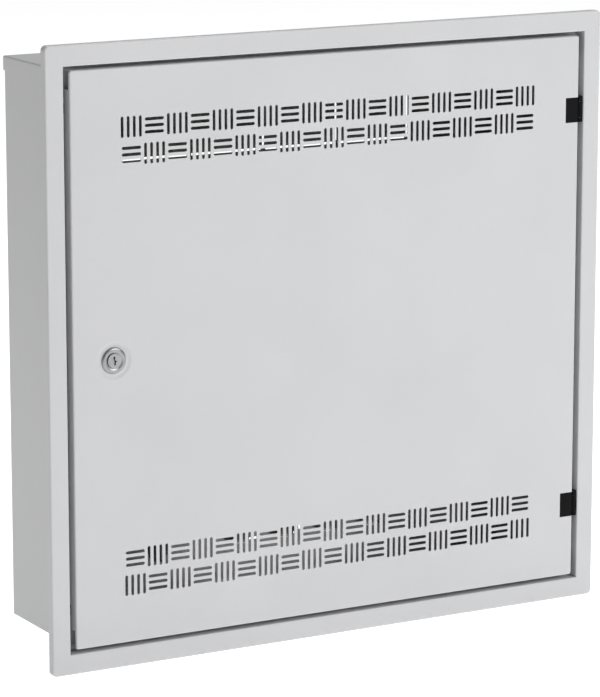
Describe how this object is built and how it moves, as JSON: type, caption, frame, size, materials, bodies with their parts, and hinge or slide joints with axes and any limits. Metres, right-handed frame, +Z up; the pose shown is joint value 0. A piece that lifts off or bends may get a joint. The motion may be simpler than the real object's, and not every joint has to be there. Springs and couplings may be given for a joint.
{
  "type": "underfloor heating manifold cabinet",
  "caption": "Flush-mounted sheet steel cabinet with a vented, lockable door and sliding front frame, holding an underfloor heating manifold with flow meters and valves.",
  "frame": {"origin": "centre of the back wall's outer face, between the four wall screws", "axes": "+X to the right seen from the front, +Y into the wall, +Z up; the door faces -Y"},
  "size_m": [0.61, 0.1446, 0.6],
  "materials": {
    "cabinet_paint": "fine powder coat, satin",
    "zinc_steel": "zinc plated",
    "black_plastic": "moulded, matt",
    "rubber": "matt",
    "fibre": "matt fibre",
    "lock_metal": "satin chrome",
    "stainless_steel": "ground along the tube",
    "nickel_plate": "nickel plated brass",
    "polished_ball": "polished chrome",
    "brass": "turned brass",
    "clear_plastic": "clear moulded plastic",
    "red_plastic": "moulded, gloss",
    "blue_plastic": "moulded, gloss",
    "white_plastic": "moulded, matt",
    "cap_plastic": "moulded, matt"
  },
  "bodies": {
    "cabinet": {"back_shell": "cabinet_paint", "top_cap": "cabinet_paint", "bottom_cap": "cabinet_paint", "mounting_rails": "zinc_steel", "rail_fixings": "zinc_steel", "brackets": "zinc_steel", "clamp_caps": "zinc_steel", "clamp_liners": "rubber", "clamp_screws": "zinc_steel", "supply_bar": "stainless_steel", "return_bar": "stainless_steel", "flow_meter_bases": "brass", "flow_meter_glasses": "clear_plastic", "return_valve_inserts": "brass", "union_nuts": "nickel_plate", "union_gaskets": "fibre", "loop_adapters": "nickel_plate", "ball_valve_bodies": "nickel_plate", "end_pieces": "nickel_plate", "air_vent_bodies": "nickel_plate", "drain_cock_bodies": "nickel_plate"},
    "frame": {"front_frame": "cabinet_paint", "frame_fixings": "zinc_steel", "door_buffers": "rubber", "hinge_sockets": "black_plastic", "hinge_pins": "zinc_steel"},
    "door_leaf": {"door": "cabinet_paint", "hinge_leaves": "black_plastic", "hinge_nuts": "zinc_steel", "lock_body": "lock_metal", "lock_nut": "zinc_steel"},
    "lock_core": {"lock_plug": "lock_metal", "lock_cam": "zinc_steel", "lock_cam_screw": "zinc_steel"},
    "supply_valve": {"supply_valve_ball": "polished_ball", "supply_valve_stem": "nickel_plate", "supply_valve_handle": "red_plastic"},
    "supply_air_vent": {"supply_air_vent_cap": "cap_plastic"},
    "supply_drain": {"supply_drain_cap": "cap_plastic"},
    "return_valve": {"return_valve_ball": "polished_ball", "return_valve_stem": "nickel_plate", "return_valve_handle": "blue_plastic"},
    "return_air_vent": {"return_air_vent_cap": "cap_plastic"},
    "return_drain": {"return_drain_cap": "cap_plastic"},
    "ring_1": {"flow_ring_1": "black_plastic"},
    "indicator_1": {"flow_indicator_1": "red_plastic"},
    "spindle_1": {"valve_spindle_1": "stainless_steel"},
    "cap_1": {"hand_cap_1": "white_plastic"},
    "ring_2": {"flow_ring_2": "black_plastic"},
    "indicator_2": {"flow_indicator_2": "red_plastic"},
    "spindle_2": {"valve_spindle_2": "stainless_steel"},
    "cap_2": {"hand_cap_2": "white_plastic"},
    "ring_3": {"flow_ring_3": "black_plastic"},
    "indicator_3": {"flow_indicator_3": "red_plastic"},
    "spindle_3": {"valve_spindle_3": "stainless_steel"},
    "cap_3": {"hand_cap_3": "white_plastic"},
    "ring_4": {"flow_ring_4": "black_plastic"},
    "indicator_4": {"flow_indicator_4": "red_plastic"},
    "spindle_4": {"valve_spindle_4": "stainless_steel"},
    "cap_4": {"hand_cap_4": "white_plastic"}
  },
  "joints": [
    {"name": "frame_slide", "type": "slide", "parent": "cabinet", "child": "frame", "axis": [0, -1, 0], "range_m": [-0.0035, 0.008]},
    {"name": "door_swing", "type": "hinge", "parent": "frame", "child": "door_leaf", "pos_m": [0.283, -0.1405, 0], "axis": [0, 0, 1], "range_deg": [0, 110]},
    {"name": "lock_turn", "type": "hinge", "parent": "door_leaf", "child": "lock_core", "pos_m": [-0.2374, -0.13, 0], "axis": [0, 1, 0], "range_deg": [0, 90]},
    {"name": "supply_handle_turn", "type": "hinge", "parent": "cabinet", "child": "supply_valve", "pos_m": [0.165, -0.044, 0.045], "axis": [0, 1, 0], "range_deg": [0, 90]},
    {"name": "supply_air_vent_turn", "type": "hinge", "parent": "cabinet", "child": "supply_air_vent", "pos_m": [-0.162, -0.044, 0.087], "axis": [0, 0, 1], "range_deg": [0, 180]},
    {"name": "supply_drain_turn", "type": "hinge", "parent": "cabinet", "child": "supply_drain", "pos_m": [-0.162, -0.044, 0.003], "axis": [0, 0, 1], "range_deg": [0, 180]},
    {"name": "return_handle_turn", "type": "hinge", "parent": "cabinet", "child": "return_valve", "pos_m": [0.165, -0.082, -0.165], "axis": [0, 1, 0], "range_deg": [0, 90]},
    {"name": "return_air_vent_turn", "type": "hinge", "parent": "cabinet", "child": "return_air_vent", "pos_m": [-0.162, -0.082, -0.123], "axis": [0, 0, 1], "range_deg": [0, 180]},
    {"name": "return_drain_turn", "type": "hinge", "parent": "cabinet", "child": "return_drain", "pos_m": [-0.162, -0.082, -0.207], "axis": [0, 0, 1], "range_deg": [0, 180]},
    {"name": "flow_ring_1_turn", "type": "hinge", "parent": "cabinet", "child": "ring_1", "pos_m": [-0.075, -0.044, 0.09], "axis": [0, 0, 1], "range_deg": [0, 540]},
    {"name": "indicator_1_rise", "type": "slide", "parent": "cabinet", "child": "indicator_1", "axis": [0, 0, 1], "range_m": [0, 0.018]},
    {"name": "spindle_1_travel", "type": "slide", "parent": "cabinet", "child": "spindle_1", "axis": [0, 0, 1], "range_m": [-0.003, 0]},
    {"name": "hand_cap_1_turn", "type": "hinge", "parent": "spindle_1", "child": "cap_1", "pos_m": [-0.075, -0.082, -0.12], "axis": [0, 0, 1], "range_deg": [-720, 0]},
    {"name": "flow_ring_2_turn", "type": "hinge", "parent": "cabinet", "child": "ring_2", "pos_m": [-0.025, -0.044, 0.09], "axis": [0, 0, 1], "range_deg": [0, 540]},
    {"name": "indicator_2_rise", "type": "slide", "parent": "cabinet", "child": "indicator_2", "axis": [0, 0, 1], "range_m": [0, 0.018]},
    {"name": "spindle_2_travel", "type": "slide", "parent": "cabinet", "child": "spindle_2", "axis": [0, 0, 1], "range_m": [-0.003, 0]},
    {"name": "hand_cap_2_turn", "type": "hinge", "parent": "spindle_2", "child": "cap_2", "pos_m": [-0.025, -0.082, -0.12], "axis": [0, 0, 1], "range_deg": [-720, 0]},
    {"name": "flow_ring_3_turn", "type": "hinge", "parent": "cabinet", "child": "ring_3", "pos_m": [0.025, -0.044, 0.09], "axis": [0, 0, 1], "range_deg": [0, 540]},
    {"name": "indicator_3_rise", "type": "slide", "parent": "cabinet", "child": "indicator_3", "axis": [0, 0, 1], "range_m": [0, 0.018]},
    {"name": "spindle_3_travel", "type": "slide", "parent": "cabinet", "child": "spindle_3", "axis": [0, 0, 1], "range_m": [-0.003, 0]},
    {"name": "hand_cap_3_turn", "type": "hinge", "parent": "spindle_3", "child": "cap_3", "pos_m": [0.025, -0.082, -0.12], "axis": [0, 0, 1], "range_deg": [-720, 0]},
    {"name": "flow_ring_4_turn", "type": "hinge", "parent": "cabinet", "child": "ring_4", "pos_m": [0.075, -0.044, 0.09], "axis": [0, 0, 1], "range_deg": [0, 540]},
    {"name": "indicator_4_rise", "type": "slide", "parent": "cabinet", "child": "indicator_4", "axis": [0, 0, 1], "range_m": [0, 0.018]},
    {"name": "spindle_4_travel", "type": "slide", "parent": "cabinet", "child": "spindle_4", "axis": [0, 0, 1], "range_m": [-0.003, 0]},
    {"name": "hand_cap_4_turn", "type": "hinge", "parent": "spindle_4", "child": "cap_4", "pos_m": [0.075, -0.082, -0.12], "axis": [0, 0, 1], "range_deg": [-720, 0]}
  ],
  "couplings": [
    {"joint": "spindle_1_travel", "follows": "hand_cap_1_turn", "m_per_rad": 0.0002387},
    {"joint": "spindle_2_travel", "follows": "hand_cap_2_turn", "m_per_rad": 0.0002387},
    {"joint": "spindle_3_travel", "follows": "hand_cap_3_turn", "m_per_rad": 0.0002387},
    {"joint": "spindle_4_travel", "follows": "hand_cap_4_turn", "m_per_rad": 0.0002387}
  ]
}
